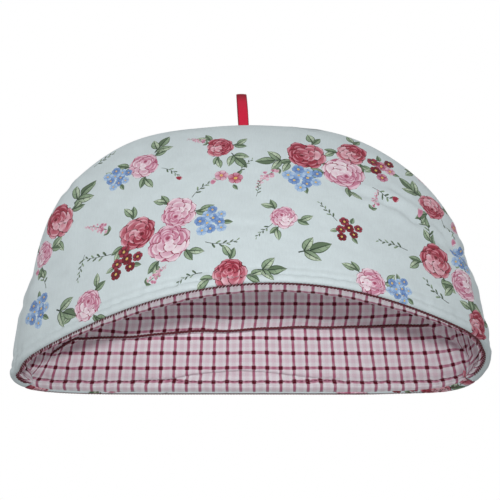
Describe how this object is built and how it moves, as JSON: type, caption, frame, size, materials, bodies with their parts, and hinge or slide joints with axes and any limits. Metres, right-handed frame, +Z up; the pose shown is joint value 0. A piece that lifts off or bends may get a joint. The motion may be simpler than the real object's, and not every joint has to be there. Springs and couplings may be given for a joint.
{
  "type": "tea cosy",
  "caption": "Padded half-moon tea cosy of rose-printed cotton with a checked lining, stitched hem and red ribbon loop.",
  "frame": {"origin": "middle of the bounding box at the height of the hem, which is what the cosy stands on", "axes": "+Z up, -Y towards the front panel with the arched side of the mouth, +X along the width"},
  "size_m": [0.3642, 0.1406, 0.244],
  "materials": {
    "printed_cotton": "matte",
    "checked_cotton": "matte",
    "red_ribbon": "satin"
  },
  "bodies": {
    "root": {"front_panel": "printed_cotton", "back_panel": "printed_cotton", "front_lining": "checked_cotton", "back_lining": "checked_cotton", "hanging_loop": "red_ribbon"}
  },
  "joints": []
}
